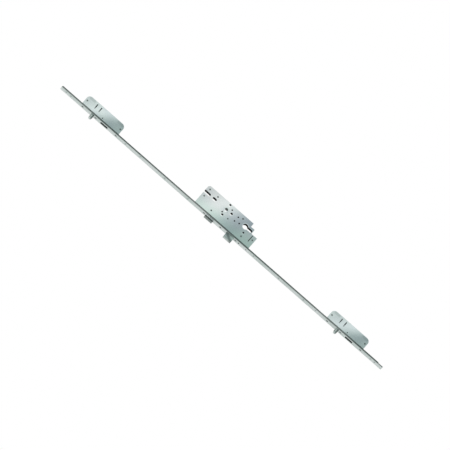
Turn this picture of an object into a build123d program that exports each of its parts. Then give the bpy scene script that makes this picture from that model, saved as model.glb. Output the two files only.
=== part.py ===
"""Multipoint door lock: one long faceplate, a stepped centre case, two bolt boxes and two drive rods.

Millimetres. +Z is up, the faceplate's front faces -Y and the cases lie behind it, towards +Y.
The origin is on the faceplate's front face, on its centreline, level with the spindle.
Each piece is modelled where it sits in the photograph's state: latch, deadbolt and pins out, hooks in.
"""

from build123d import *
import math
import os

# Heights of the two pin bolts above the spindle, and the faceplate's ends beyond them
UPPER_PIN_Z = 460.7
LOWER_PIN_Z = -457.9
END_ABOVE_PIN = 117.6
END_BELOW_PIN = 167.2

# Faceplate, with its fixing holes counted from its ends or from the spindle
FACE_WIDTH = 20.0
FACE_THICK = 3.0
FIX_HOLE_R = 2.4
FIX_SINK_R = 4.4
TOP_FIX_DROPS = (20.6, 38.2)
BOTTOM_FIX_RISES = (26.0, 40.4)
MIDDLE_FIX_HOLES = (335.7, 280.7, 188.9, 101.8, -144.8, -238.6, -332.0, -377.8)
PLAIN_HOLE_DROP = 43.8
PLAIN_HOLE_R = 1.9
FACE_EASE = 0.4

# Screws that hold the cases to the faceplate, and the posts that they turn into
UPPER_SCREW_Z = 41.5
MIDDLE_SCREW_Z = -20.3
LOWER_SCREW_DROP = 4.3
SCREW_R = 1.95
SCREW_HEAD_R = 3.9
SCREW_SINK = 2.3
SCREW_FIT = 0.05
HEAD_FIT = 0.15
DRIVE_SLOT_WIDTH = 0.9
DRIVE_SLOT_DEPTH = 0.8
POST_DEPTH = 7.2
POST_FLOOR = 1.5
POST_HALF = 4.0
POST_GAP = 1.0
NECK_R = 2.8

# Drive rods, two flat strips side by side behind the faceplate, and their guide studs
ROD_GAP = 0.15
ROD_THICK = 1.6
ROD_OVERHANG = 2.25
ROD_PARTING = 0.3
ROD_TOP_SHORT = 1.5
ROD_BOTTOM_SHORT = 17.5
ROD_SLOT_HALF = 3.1
WINDOW_SIDE_GAP = 0.25
WINDOW_END_GAP = 0.6
TOP_STUD_DROP = 59.3
BOTTOM_STUD_RISE = 59.1
MIDDLE_STUDS = (312.0, 235.0, 145.0, -190.0, -285.0, -355.0)
STUD_R = 2.0
STUD_HEAD_R = 4.6
STUD_HEAD_THICK = 1.1

# Sheet metal shells, shared by the three cases, and the drive plates that lie beside their walls
CASE_THICK = 14.5
SHEET = 1.5
BEND_R = 2.0
COVER_EASE = 0.4
CASE_GAP = 1.05
PLATE_THICK = 1.6
PLATE_SIDE_GAP = 0.15
PLATE_GAP = 1.0
SLOT_WALL = 3.0
FOOT_HEIGHT = 13.0
RUN_FIT = 0.06
SLIDE_FIT = 0.3
SAME_PLACE = 0.01

# Spindle and profile cylinder, which the centre case is laid out from
BACKSET = 50.0
SPINDLE = 8.1
CYLINDER_DROP = 72.0
CYLINDER_R = 8.75
CYLINDER_LEG = 10.0
CYLINDER_HEIGHT = 33.0
CYLINDER_SCREW_DROP = 16.7
CYLINDER_SCREW_R = 2.75

# Centre case; each step is (behind the cylinder's axis, below it)
CASE_TOP = 81.9
CASE_BEHIND = 23.6
CASE_BELOW = 47.1
STEP_ONE = (11.0, 12.1)
STEP_TWO = (-4.5, 26.0)
CASE_CORNER_R = 8.5

# Holes for the door furniture; places are (behind, above) the spindle's axis
ROSE_PITCH = 38.0
ROSE_HOLE_R = 3.5
LOWER_HOLE = (1.0, -18.9)
LOWER_HOLE_R = 4.0
SLOT_BEHIND = 1.0
TOP_SLOT_BOTTOM = 59.4
TOP_SLOT_WIDTH = 8.5
MID_SLOT_BOTTOM = 37.3
MID_SLOT_TOP = 51.5
MID_SLOT_WIDTH = 8.0
UPPER_PILLARS = ((13.8, 72.1), (-12.4, 73.2), (12.9, 41.6))
COVER_DOTS = ((-32.0, 30.9), (-12.8, 5.3), (11.2, -13.3), (-18.1, -20.0), (6.8, -39.5), (-9.4, -38.3),
              (-5.7, -53.2))
COVER_DOT_R = 2.3

# Holes lower down; places are (behind, above) the cylinder's axis
TIE_HOLE = (-18.5, -7.0)
TIE_HOLE_R = 3.0
LOWER_PILLARS = ((12.9, 19.5), (-18.1, -40.0), (-31.6, -8.6))
SLIT_FRONT = -28.7
SLIT_BACK = -8.4
SLIT_DROP = 32.7
SLIT_WIDTH = 2.2

# Riveted pillars between a tray and its cover
PILLAR_R = 3.0
PILLAR_NECK_R = 2.1
PILLAR_PROUD = 0.35
PILLAR_EASE = 0.2

# Latch
LATCH_BOTTOM = 6.5
LATCH_TOP = 35.2
LATCH_SIDE_GAP = 0.75
LATCH_TRAVEL = 11.5
LATCH_PROUD = 0.3
LATCH_HEAD_BACK = 14.0
LATCH_BEVEL = 10.0
LATCH_TIP_FLAT = 1.4
TAIL_THICK = 3.4
TAIL_HEIGHT = 5.0
TAIL_INSET = 6.0
CROSS_PIN_R = 1.25
LUG_GAP = 0.6
LUG_LENGTH = 4.0
LUG_HUB_GAP = 1.2
STOP_AHEAD = 14.0
STOP_THICK = 2.5
STOP_MARGIN = 0.8
LATCH_SPRING_R = 3.9
LATCH_SPRING_WIRE = 0.5
LATCH_SPRING_TURNS = 8
SPRING_END_GAP = 0.1

# Follower, the square-holed hub that the handle's spindle turns
HUB_R = 11.0
HUB_JOURNAL_R = 8.5
HUB_SIDE_GAP = 0.2
ARM_RADIUS = 18.0
ARM_TIP_R = 2.0
ARM_FAR_X = 2.2
FOLLOWER_SPRING_R = 9.6
FOLLOWER_SPRING_WIRE = 0.5
FOLLOWER_SPRING_TURNS = 2
FOLLOWER_SPRING_PITCH = 1.5

# Deadbolt; its top is counted from the cylinder's axis
BOLT_ABOVE = 29.6
BOLT_HEIGHT = 27.3
BOLT_SIDE_GAP = 0.25
BOLT_TRAVEL = 16.5
BOLT_HEAD_BACK = 2.5
BOLT_EDGE = 1.2
BOLT_TAIL_DROP = 3.6
BOLT_TAIL_RISE = 7.7
BOLT_TENON = 6.5
BOLT_TAIL_BACK = 27.3
BOLT_PIN_INSET = 4.0
BOLT_PEG_INSET = 3.7
BOLT_PEG_R = 2.0

# Drive plates of the centre case, each with a finger that the key's cam reaches
BOLT_ROD_TRAVEL = 16.0
KEY_REACH = 10.5
FINGER_DEPTH = 4.3
BOLT_PLATE_AHEAD = 6.0
BOLT_FINGER_RISE = 7.0
HOOK_FINGER_RISE = 4.0
NOTCH_RISE = 2.5
NOTCH_DEPTH = 2.2
NOTCH_HEIGHT = 4.4

# Bolt boxes, two alike; places are (behind the faceplate's front, above the pin's axis)
BOX_ABOVE = 44.1
BOX_BELOW = 92.1
BOX_CORNER_R = 12.5
BOX_SCREWS = (36.6, -12.1, -87.7)
BOX_PILLARS = ((20.8, 37.6), (20.8, -86.0))
BOX_DOT = (10.6, -28.0)
BOX_DOT_R = 1.9
PRESS_DEPTH = 0.35
PRESS_WIDTH = 6.3
PRESS_INSET = 2.4
PRESS_RANGES = ((16.0, 37.0), (-88.0, -65.0))

# Pin bolt and the carriage behind it
PIN_SIDE_GAP = 0.5
PIN_TRAVEL = 14.5
PIN_HEAD_BACK = 1.6
PIN_TAPER = 5.0
PIN_TIP_R = 3.7
PIN_TIP_ROUND = 1.2
PIN_TAIL_R = 3.0
CARRIAGE_GAP = 1.0
CARRIAGE_DEPTH = 7.5
CARRIAGE_HALF = 9.8
CARRIAGE_END_GAP = 1.5
TAIL_SIDE_GAP = 0.8
GUIDE_PEG_OFFSET = 7.6
GUIDE_PEG_INSET = 3.8
GUIDE_PEG_R = 1.4
DRIVE_PEG_INSET = 5.2
DRIVE_PEG_R = 1.6

# Swing hook; angles are from straight down, towards the faceplate
HOOK_DROP = 32.0
HOOK_PIVOT_BEHIND = 6.7
HOOK_HUB_R = 6.0
HOOK_BAND = 11.0
HOOK_ROOM = 2.95
HOOK_SIDE_GAP = 0.5
HOOK_BACK_DEG = -58.0
HOOK_NOSE_DEG = 4.0
HOOK_ARM_DEG = 24.0
HOOK_ROOT_R = 3.0
HOOK_ROOT_FAR_DEG = -60.0
HOOK_ROOT_NEAR_DEG = 90.0
HOOK_TIP_ROUND = 2.0
HOOK_SWING_DEG = 80.0
HOOK_PIVOT_R = 3.0
HOOK_PIVOT_GAP = 0.7
HOOK_PEG_RADIUS = 9.0
HOOK_PEG_R = 2.0
HOOK_LOBE_R = 3.4
HOOK_SLOT_LENGTH = 25.7
HOOK_SLOT_WIDTH = 11.0
HOOK_SLOT_GAP = 0.65
HOOK_SLOT_PLAY = 0.3

# Worked out: depths behind the faceplate's front
ROD_FRONT = FACE_THICK + ROD_GAP
ROD_BACK = ROD_FRONT + ROD_THICK
CASE_FRONT = ROD_BACK + CASE_GAP
POST_BACK = CASE_FRONT + POST_DEPTH
SCREW_TIP_Y = POST_BACK - POST_FLOOR
CASE_BACK = BACKSET + CASE_BEHIND
CARRIAGE_FRONT = POST_BACK + CARRIAGE_GAP
CARRIAGE_BACK = CARRIAGE_FRONT + CARRIAGE_DEPTH
GUIDE_PEG_Y = CARRIAGE_FRONT + GUIDE_PEG_INSET
DRIVE_PEG_Y = CARRIAGE_FRONT + DRIVE_PEG_INSET
BOX_BACK = CARRIAGE_BACK + PIN_TRAVEL + CARRIAGE_END_GAP + SHEET
HOOK_PIVOT_Y = CASE_FRONT + HOOK_PIVOT_BEHIND
BOLT_PEG_Y = BOLT_TAIL_BACK - BOLT_PEG_INSET
FINGER_BACK = BACKSET - KEY_REACH
FINGER_FRONT = FINGER_BACK - FINGER_DEPTH
BOLT_PLATE_BACK = BACKSET - BOLT_PLATE_AHEAD
BOLT_CLEAR_Y = BOLT_HEAD_BACK + BOLT_TRAVEL + PLATE_GAP
STOP_FRONT = BACKSET - STOP_AHEAD

# Worked out: widths
HALF = CASE_THICK / 2
INNER = HALF - SHEET
PLATE_OUT = INNER - PLATE_SIDE_GAP
PLATE_IN = PLATE_OUT - PLATE_THICK
NARROW_POST = PLATE_IN - 2 * SLIDE_FIT
LATCH_HALF = INNER - LATCH_SIDE_GAP
BOLT_HALF = INNER - BOLT_SIDE_GAP
BOLT_TAIL_HALF = PLATE_IN - TAIL_SIDE_GAP
PIN_R = INNER - PIN_SIDE_GAP
HOOK_HALF = PLATE_IN - HOOK_SIDE_GAP
ROD_OUTER = HALF + ROD_OVERHANG
ROD_WINDOW_HALF = BOLT_HALF + WINDOW_SIDE_GAP
FOLLOWER_SPRING_ROOM = FOLLOWER_SPRING_TURNS * FOLLOWER_SPRING_PITCH + 2 * FOLLOWER_SPRING_WIRE
HUB_STEP_X = INNER - FOLLOWER_SPRING_ROOM - 3 * SPRING_END_GAP

# Worked out: heights
FACE_TOP = UPPER_PIN_Z + END_ABOVE_PIN
FACE_BOTTOM = LOWER_PIN_Z - END_BELOW_PIN
CYLINDER_Z = -CYLINDER_DROP
CASE_BOTTOM = CYLINDER_Z - CASE_BELOW
CASE_SCREWS = (UPPER_SCREW_Z, MIDDLE_SCREW_Z, CYLINDER_Z - LOWER_SCREW_DROP)
CYLINDER_SCREW_Z = CYLINDER_Z - CYLINDER_SCREW_DROP
PLAIN_HOLE_Z = CYLINDER_Z - PLAIN_HOLE_DROP
TAIL_BOTTOM = ARM_RADIUS + ARM_TIP_R + LUG_GAP
TAIL_MIDDLE = TAIL_BOTTOM + TAIL_HEIGHT / 2
TAIL_TOP = TAIL_BOTTOM + TAIL_HEIGHT
BOLT_TOP = CYLINDER_Z + BOLT_ABOVE
BOLT_BOTTOM = BOLT_TOP - BOLT_HEIGHT
BOLT_TAIL_TOP = BOLT_TOP - BOLT_TAIL_DROP
BOLT_TAIL_BOTTOM = BOLT_BOTTOM + BOLT_TAIL_RISE
BOLT_PEG_Z = (BOLT_TAIL_TOP + BOLT_TAIL_BOTTOM) / 2
BOLT_FOOT_Z = BOLT_TOP + BOLT_ROD_TRAVEL + PLATE_GAP
PINS = {"upper": UPPER_PIN_Z, "lower": LOWER_PIN_Z}
FIX_HOLES = ([FACE_TOP - drop for drop in TOP_FIX_DROPS] + list(MIDDLE_FIX_HOLES)
             + [FACE_BOTTOM + rise for rise in BOTTOM_FIX_RISES])
STUDS = [FACE_TOP - TOP_STUD_DROP, *MIDDLE_STUDS, FACE_BOTTOM + BOTTOM_STUD_RISE]

# Worked out: the hook, as large as its box lets it swing
HOOK_REACH = BOX_BACK - SHEET - HOOK_ROOM - HOOK_PIVOT_Y
HOOK_OUTER_R = HOOK_REACH / math.sin(math.radians(-HOOK_BACK_DEG))
HOOK_INNER_R = HOOK_OUTER_R - HOOK_BAND
HOOK_PEG_START = math.radians(90 + HOOK_SWING_DEG / 2)
HOOK_ROD_TRAVEL = 2 * HOOK_PEG_RADIUS * math.sin(math.radians(HOOK_SWING_DEG / 2))


def block(x0, x1, y0, y1, z0, z1):
    """A box between two opposite corners."""
    size = Box(x1 - x0, y1 - y0, z1 - z0, align=(Align.MIN, Align.MIN, Align.MIN))
    return Pos(x0, y0, z0) * size


def round_x(y, z, r, x0, x1):
    """A cylinder along X."""
    bar = Cylinder(r, x1 - x0, align=(Align.CENTER, Align.CENTER, Align.MIN))
    return Pos(x0, y, z) * Rot(0, 90, 0) * bar


def round_y(x, z, r, y0, y1):
    """A cylinder along Y."""
    bar = Cylinder(r, y1 - y0, align=(Align.CENTER, Align.CENTER, Align.MIN))
    return Pos(x, y0, z) * Rot(-90, 0, 0) * bar


def cone_y(x, z, r0, r1, y0, y1):
    """A cone along Y, of radius r0 at y0 and r1 at y1."""
    cone = Cone(r0, r1, y1 - y0, align=(Align.CENTER, Align.CENTER, Align.MIN))
    return Pos(x, y0, z) * Rot(-90, 0, 0) * cone


def sheet(points, x0, x1):
    """A flat plate with the outline points (y, z) between two X planes."""
    face = Plane.YZ * make_face(Polyline(*points, close=True))
    return Pos(x0, 0, 0) * extrude(face, x1 - x0)


def slot_x(y0, z0, y1, z1, width, x0, x1):
    """A bar with round ends, running along X between two planes, from one end's centre to the other."""
    length = math.hypot(y1 - y0, z1 - z0)
    turn = math.degrees(math.atan2(z1 - z0, y1 - y0))
    flat = Pos((y0 + y1) / 2, (z0 + z1) / 2) * Rot(0, 0, turn) * SlotCenterToCenter(length, width)
    return Pos(x0, 0, 0) * extrude(Plane.YZ * flat, x1 - x0)


def turned(y, z, r, degrees):
    """The point at radius r from (y, z), at an angle from straight down towards the faceplate."""
    a = math.radians(degrees)
    return (y - r * math.sin(a), z - r * math.cos(a))


def at_spindle(place):
    """The (y, z) of a place counted from the spindle's axis."""
    return (BACKSET + place[0], place[1])


def at_cylinder(place):
    """The (y, z) of a place counted from the cylinder's axis."""
    return (BACKSET + place[0], CYLINDER_Z + place[1])


def rounded(solid, corners, radius):
    """Round the edges along X that stand at the corners (y, z)."""
    edges = []
    for edge in solid.edges().filter_by(Axis.X):
        middle = (edge.center().Y, edge.center().Z)
        if any(math.dist(middle, corner) < SAME_PLACE for corner in corners):
            edges.append(edge)
    return fillet(edges, radius)


def save(shape, name):
    """Write one piece, or one group of like pieces, to its file."""
    solids = shape.solids()
    export_step(solids[0] if len(solids) == 1 else Compound(children=solids), f"parts/{name}.step")


def screw_heights():
    """Heights of all screws that hold a case to the faceplate."""
    heights = list(CASE_SCREWS)
    for pin_z in PINS.values():
        heights += [pin_z + dz for dz in BOX_SCREWS]
    return heights


def hook_slot_range(pin_z):
    """Lowest and highest point of the faceplate's slot for a hook."""
    sweep_depth = math.sqrt(HOOK_OUTER_R ** 2 - (HOOK_PIVOT_Y - FACE_THICK) ** 2)
    low = pin_z - HOOK_DROP - sweep_depth - HOOK_SLOT_GAP
    return low, low + HOOK_SLOT_LENGTH


def faceplate():
    """The long flat strip with its bolt openings and countersunk holes."""
    half = FACE_WIDTH / 2
    plate = block(-half, half, 0, FACE_THICK, FACE_BOTTOM, FACE_TOP)
    plate = chamfer(plate.edges().filter_by(Axis.Z), FACE_EASE)
    cuts = []
    for z in FIX_HOLES:
        cuts.append(round_y(0, z, FIX_HOLE_R, 0, FACE_THICK))
        cuts.append(cone_y(0, z, FIX_SINK_R, FIX_HOLE_R, 0, FIX_SINK_R - FIX_HOLE_R))
    for z in screw_heights():
        cuts.append(round_y(0, z, SCREW_R + HEAD_FIT, 0, FACE_THICK))
        cuts.append(cone_y(0, z, SCREW_HEAD_R + HEAD_FIT, SCREW_R + HEAD_FIT, 0, SCREW_SINK))
    cuts.append(round_y(0, PLAIN_HOLE_Z, PLAIN_HOLE_R, 0, FACE_THICK))
    cuts.append(round_y(0, CYLINDER_SCREW_Z, CYLINDER_SCREW_R, 0, FACE_THICK))
    x = LATCH_HALF + SLIDE_FIT
    cuts.append(block(-x, x, 0, FACE_THICK, LATCH_BOTTOM - SLIDE_FIT, LATCH_TOP + SLIDE_FIT))
    x = BOLT_HALF + SLIDE_FIT
    cuts.append(block(-x, x, 0, FACE_THICK, BOLT_BOTTOM - SLIDE_FIT, BOLT_TOP + SLIDE_FIT))
    for pin_z in PINS.values():
        cuts.append(round_y(0, pin_z, PIN_R + RUN_FIT, 0, FACE_THICK))
        low, high = hook_slot_range(pin_z)
        x = HOOK_SLOT_WIDTH / 2
        cuts.append(block(-x, x, 0, FACE_THICK, low, high))
    return plate - cuts


def guide_studs():
    """Headed studs on the faceplate's back, which keep both rods against it."""
    studs = []
    head_y = ROD_BACK + ROD_GAP
    for z in STUDS:
        shank = round_y(0, z, STUD_R, FACE_THICK, head_y)
        studs.append(shank + round_y(0, z, STUD_HEAD_R, head_y, head_y + STUD_HEAD_THICK))
    return Compound(children=studs)


def slotted_screws(heights):
    """Slotted countersunk screws through the faceplate into the posts."""
    screws = []
    half = DRIVE_SLOT_WIDTH / 2
    for z in heights:
        body = round_y(0, z, SCREW_R, 0, SCREW_TIP_Y)
        body += cone_y(0, z, SCREW_HEAD_R, SCREW_R, 0, SCREW_SINK - HEAD_FIT)
        body -= block(-SCREW_HEAD_R, SCREW_HEAD_R, 0, DRIVE_SLOT_DEPTH, z - half, z + half)
        screws.append(body)
    return Compound(children=screws)


def rod_windows(travel):
    """Every window in a rod that moves down by travel, as (half width, low, high).

    The latch's window is alike in both rods.
    """
    gap = WINDOW_END_GAP
    windows = []
    for z in FIX_HOLES + STUDS + screw_heights() + [PLAIN_HOLE_Z, CYLINDER_SCREW_Z]:
        windows.append((ROD_SLOT_HALF, z - ROD_SLOT_HALF, z + ROD_SLOT_HALF + travel))
    windows.append((ROD_WINDOW_HALF, LATCH_BOTTOM - gap, LATCH_TOP + gap + BOLT_ROD_TRAVEL))
    windows.append((ROD_WINDOW_HALF, BOLT_BOTTOM - gap, BOLT_TOP + gap + travel))
    for pin_z in PINS.values():
        windows.append((ROD_WINDOW_HALF, pin_z - PIN_R - gap, pin_z + PIN_R + gap + travel))
        low, high = hook_slot_range(pin_z)
        windows.append((ROD_WINDOW_HALF, low - gap, high + gap + travel))
    return windows


def drive_rod(side, travel, tabs):
    """One flat rod; side is -1 or 1, and tabs are the heights where its plates are riveted in."""
    top = FACE_TOP - ROD_TOP_SHORT
    bottom = FACE_BOTTOM + ROD_BOTTOM_SHORT
    near, far = sorted((side * ROD_PARTING, side * ROD_OUTER))
    rod = block(near, far, ROD_FRONT, ROD_BACK, bottom, top)
    cuts = [block(-w, w, ROD_FRONT, ROD_BACK, z0, z1) for w, z0, z1 in rod_windows(travel)]
    near, far = sorted((side * PLATE_IN, side * PLATE_OUT))
    cuts += [block(near, far, ROD_FRONT, ROD_BACK, z0, z1) for z0, z1 in tabs]
    return rod - cuts


def drive_plate(side, points, foot_low, foot_high, cuts):
    """A plate beside the case wall on its rod's side, with a tab in the rod; also the tab's heights."""
    near, far = sorted((side * PLATE_IN, side * PLATE_OUT))
    third = (foot_high - foot_low) / 3
    tab = (foot_low + third, foot_high - third)
    plate = sheet(points, near, far) + block(near, far, ROD_FRONT, ROD_BACK, *tab)
    return plate - cuts, tab


def case_outline():
    """The centre case's outline, seen from +X, with its two steps."""
    one_y, one_z = at_cylinder((STEP_ONE[0], -STEP_ONE[1]))
    two_y, two_z = at_cylinder((STEP_TWO[0], -STEP_TWO[1]))
    return [(CASE_FRONT, CASE_BOTTOM), (two_y, CASE_BOTTOM), (two_y, two_z), (one_y, two_z),
            (one_y, one_z), (CASE_BACK, one_z), (CASE_BACK, CASE_TOP), (CASE_FRONT, CASE_TOP)]


def case_pillar_places():
    """The (y, z) of the centre case's pillars."""
    return [at_spindle(place) for place in UPPER_PILLARS] + [at_cylinder(place) for place in LOWER_PILLARS]


def case_cuts(x0, x1):
    """Everything that passes through the centre case from side to side."""
    cuts = [round_x(BACKSET, 0, HUB_JOURNAL_R + RUN_FIT, x0, x1)]
    cuts.append(round_x(BACKSET, CYLINDER_Z, CYLINDER_R, x0, x1))
    leg_end = CYLINDER_Z + CYLINDER_R - CYLINDER_HEIGHT + CYLINDER_LEG / 2
    cuts.append(slot_x(BACKSET, CYLINDER_Z, BACKSET, leg_end, CYLINDER_LEG, x0, x1))
    for y in (BACKSET - ROSE_PITCH / 2, BACKSET + ROSE_PITCH / 2):
        cuts.append(round_x(y, 0, ROSE_HOLE_R, x0, x1))
    cuts.append(round_x(*at_spindle(LOWER_HOLE), LOWER_HOLE_R, x0, x1))
    cuts.append(round_x(*at_cylinder(TIE_HOLE), TIE_HOLE_R, x0, x1))
    slot_y = BACKSET + SLOT_BEHIND
    r = MID_SLOT_WIDTH / 2
    cuts.append(slot_x(slot_y, MID_SLOT_BOTTOM + r, slot_y, MID_SLOT_TOP - r, MID_SLOT_WIDTH, x0, x1))
    r = TOP_SLOT_WIDTH / 2
    cuts.append(slot_x(slot_y, TOP_SLOT_BOTTOM + r, slot_y, CASE_TOP + r, TOP_SLOT_WIDTH, x0, x1))
    for y, z in case_pillar_places():
        cuts.append(round_x(y, z, PILLAR_NECK_R, x0, x1))
    return cuts


def tray(outline, corners, corner_r):
    """An open sheet metal tray: the far side plate with its bent rim, open at the front."""
    outer = rounded(sheet(outline, -HALF, INNER), corners, corner_r)
    plate = outer.faces().sort_by(Axis.X)[0]
    outer = fillet([edge for edge in plate.edges() if edge.center().Y > CASE_FRONT + SAME_PLACE], BEND_R)
    hollow = extrude(Pos(SHEET, 0, 0) * offset(plate, -SHEET), CASE_THICK, dir=(1, 0, 0))
    low = min(z for _, z in outline) + SHEET
    high = max(z for _, z in outline) - SHEET
    mouth = block(SHEET - HALF, INNER, CASE_FRONT, CASE_FRONT + 2 * SHEET, low, high)
    return outer - hollow - mouth


def flat_cover(outline, corners, corner_r):
    """A flat cover on the +X side, with its outer edges eased."""
    cover = rounded(sheet(outline, INNER, HALF), corners, corner_r)
    return chamfer(cover.faces().sort_by(Axis.X)[-1].edges(), COVER_EASE)


def case_body():
    """Tray of the centre case."""
    body = tray(case_outline(), [(CASE_BACK, CASE_TOP)], CASE_CORNER_R)
    return body - case_cuts(-HALF, INNER)


def case_cover():
    """Flat cover of the centre case, on the +X side, with its dots and lower slit."""
    cover = flat_cover(case_outline(), [(CASE_BACK, CASE_TOP)], CASE_CORNER_R)
    cuts = case_cuts(INNER, HALF)
    for place in COVER_DOTS:
        cuts.append(round_x(*at_spindle(place), COVER_DOT_R, INNER, HALF))
    front = at_cylinder((SLIT_FRONT, -SLIT_DROP))
    back = at_cylinder((SLIT_BACK, -SLIT_DROP))
    cuts.append(slot_x(*front, *back, SLIT_WIDTH, INNER, HALF))
    return cover - cuts


def shouldered_rivet(y, z, radius):
    """A pin between the two side walls with thinner ends riveted through them."""
    reach = HALF + PILLAR_PROUD
    neck = round_x(y, z, PILLAR_NECK_R, -reach, reach)
    neck = chamfer(neck.edges().filter_by(GeomType.CIRCLE), PILLAR_EASE)
    return round_x(y, z, radius, -INNER, INNER) + neck


def pillars(places):
    """The riveted pillars that hold a cover on its tray."""
    return Compound(children=[shouldered_rivet(y, z, PILLAR_R) for y, z in places])


def screw_bore(z):
    """The blind hole that a screw turns into."""
    return round_y(0, z, SCREW_R + SCREW_FIT, FACE_THICK, SCREW_TIP_Y + SCREW_FIT)


def screw_post(z, z0, z1, x0, x1):
    """A post behind the rods that takes one screw, with a neck that reaches the faceplate."""
    post = block(x0, x1, CASE_FRONT, POST_BACK, z0, z1)
    post += round_y(0, z, NECK_R, FACE_THICK, CASE_FRONT)
    return post - screw_bore(z)


def case_posts():
    """The centre case's three posts; the middle one also parts the latch from the deadbolt."""
    upper_z, middle_z, lower_z = CASE_SCREWS
    upper = screw_post(upper_z, upper_z - POST_HALF, upper_z + POST_HALF, -INNER, INNER)
    lower = screw_post(lower_z, lower_z - POST_HALF, lower_z + POST_HALF, -INNER, INNER)
    top = LATCH_BOTTOM - POST_GAP
    middle = screw_post(middle_z, BOLT_TOP + POST_GAP, top, -NARROW_POST, NARROW_POST)
    wide_low = BOLT_FOOT_Z + FOOT_HEIGHT + POST_GAP
    middle += block(-INNER, INNER, CASE_FRONT, POST_BACK, wide_low, top)
    return Compound(children=[upper, middle - screw_bore(middle_z), lower])


def latch_head():
    """Latch head with its closing bevel on the -X side and a slot for the tail."""
    tip = -LATCH_TRAVEL - LATCH_PROUD
    outline = Polyline((LATCH_HALF, tip), (LATCH_HALF, LATCH_HEAD_BACK), (-LATCH_HALF, LATCH_HEAD_BACK),
                       (-LATCH_HALF, tip + LATCH_BEVEL), (LATCH_HALF - LATCH_TIP_FLAT, tip), close=True)
    head = Pos(0, 0, LATCH_BOTTOM) * extrude(make_face(outline), LATCH_TOP - LATCH_BOTTOM)
    x = TAIL_THICK / 2
    head -= block(-x, x, LATCH_HEAD_BACK - TAIL_INSET, LATCH_HEAD_BACK, TAIL_BOTTOM, TAIL_TOP)
    return head - latch_pin()


def latch_pin():
    """Cross pin that holds the tail in the latch head."""
    return round_x(LATCH_HEAD_BACK - TAIL_INSET / 2, TAIL_MIDDLE, CROSS_PIN_R, -LATCH_HALF, LATCH_HALF)


def latch_tail():
    """Flat tail bar, with the lug that the follower's arm pushes back."""
    x = TAIL_THICK / 2
    lug_front = BACKSET + ARM_TIP_R + LUG_GAP
    lug_back = lug_front + LUG_LENGTH
    bar = block(-x, x, LATCH_HEAD_BACK - TAIL_INSET, lug_back, TAIL_BOTTOM, TAIL_TOP)
    lug = block(-x, x, lug_front, lug_back, HUB_R + LUG_HUB_GAP, TAIL_TOP)
    return bar + lug - latch_pin()


def latch_stop():
    """Bracket across the case that the tail slides through and the latch spring leans on."""
    reach = LATCH_SPRING_R + LATCH_SPRING_WIRE + STOP_MARGIN
    back = STOP_FRONT + STOP_THICK
    stop = block(-INNER, INNER, STOP_FRONT, back, TAIL_MIDDLE - reach, TAIL_MIDDLE + reach)
    x = TAIL_THICK / 2 + SLIDE_FIT
    return stop - block(-x, x, STOP_FRONT, back, TAIL_BOTTOM - SLIDE_FIT, TAIL_TOP + SLIDE_FIT)


def coil(radius, wire, turns, height):
    """An open coil about Z, from its base plane up."""
    path = Helix(height / turns, height, radius)
    section = Plane(origin=path @ 0, z_dir=path % 0) * Circle(wire)
    return sweep(section, path)


def latch_spring():
    """Compression spring round the latch tail, between the head and the bracket."""
    end_gap = LATCH_SPRING_WIRE + SPRING_END_GAP
    length = STOP_FRONT - LATCH_HEAD_BACK - 2 * end_gap
    wound = coil(LATCH_SPRING_R, LATCH_SPRING_WIRE, LATCH_SPRING_TURNS, length)
    return Pos(0, LATCH_HEAD_BACK + end_gap, TAIL_MIDDLE) * Rot(-90, 0, 0) * wound


def follower():
    """Square-holed hub on two journals, with the arm that draws the latch back."""
    hub = round_x(BACKSET, 0, HUB_R, HUB_SIDE_GAP - INNER, HUB_STEP_X)
    hub += round_x(BACKSET, 0, HUB_JOURNAL_R, -HALF, HALF)
    arm = slot_x(BACKSET, 0, BACKSET, ARM_RADIUS, 2 * ARM_TIP_R, -ARM_FAR_X, HUB_STEP_X)
    half = SPINDLE / 2
    return hub + arm - block(-HALF, HALF, BACKSET - half, BACKSET + half, -half, half)


def follower_spring():
    """Coil round the follower's journal that brings the handle back up."""
    height = FOLLOWER_SPRING_TURNS * FOLLOWER_SPRING_PITCH
    wound = coil(FOLLOWER_SPRING_R, FOLLOWER_SPRING_WIRE, FOLLOWER_SPRING_TURNS, height)
    x = HUB_STEP_X + FOLLOWER_SPRING_WIRE + SPRING_END_GAP
    return Pos(x, BACKSET, 0) * Rot(0, 90, 0) * wound


def deadbolt_head():
    """Square deadbolt head with eased edges and a slot for its tail."""
    head = block(-BOLT_HALF, BOLT_HALF, -BOLT_TRAVEL, BOLT_HEAD_BACK, BOLT_BOTTOM, BOLT_TOP)
    head = chamfer(head.faces().sort_by(Axis.Y)[0].edges(), BOLT_EDGE)
    return head - deadbolt_tenon() - deadbolt_pins()


def deadbolt_tenon():
    """The part of the deadbolt's tail that lies inside its head."""
    front = BOLT_HEAD_BACK - BOLT_TENON
    return block(-BOLT_TAIL_HALF, BOLT_TAIL_HALF, front, BOLT_HEAD_BACK, BOLT_TAIL_BOTTOM, BOLT_TAIL_TOP)


def deadbolt_pins():
    """Two cross pins that hold the deadbolt head on its tail."""
    y = BOLT_HEAD_BACK - BOLT_TENON / 2
    heights = (BOLT_TAIL_TOP - BOLT_PIN_INSET, BOLT_TAIL_BOTTOM + BOLT_PIN_INSET)
    return Compound(children=[round_x(y, z, CROSS_PIN_R, -BOLT_HALF, BOLT_HALF) for z in heights])


def deadbolt_tail():
    """Tail plate behind the deadbolt head."""
    x = BOLT_TAIL_HALF
    tail = block(-x, x, BOLT_HEAD_BACK, BOLT_TAIL_BACK, BOLT_TAIL_BOTTOM, BOLT_TAIL_TOP)
    return tail + deadbolt_tenon() - deadbolt_pins() - deadbolt_peg()


def deadbolt_peg():
    """Peg through the deadbolt's tail that rides in the bolt plate's slanted slot."""
    return round_x(BOLT_PEG_Y, BOLT_PEG_Z, BOLT_PEG_R, -PLATE_OUT, BOLT_TAIL_HALF)


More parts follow.
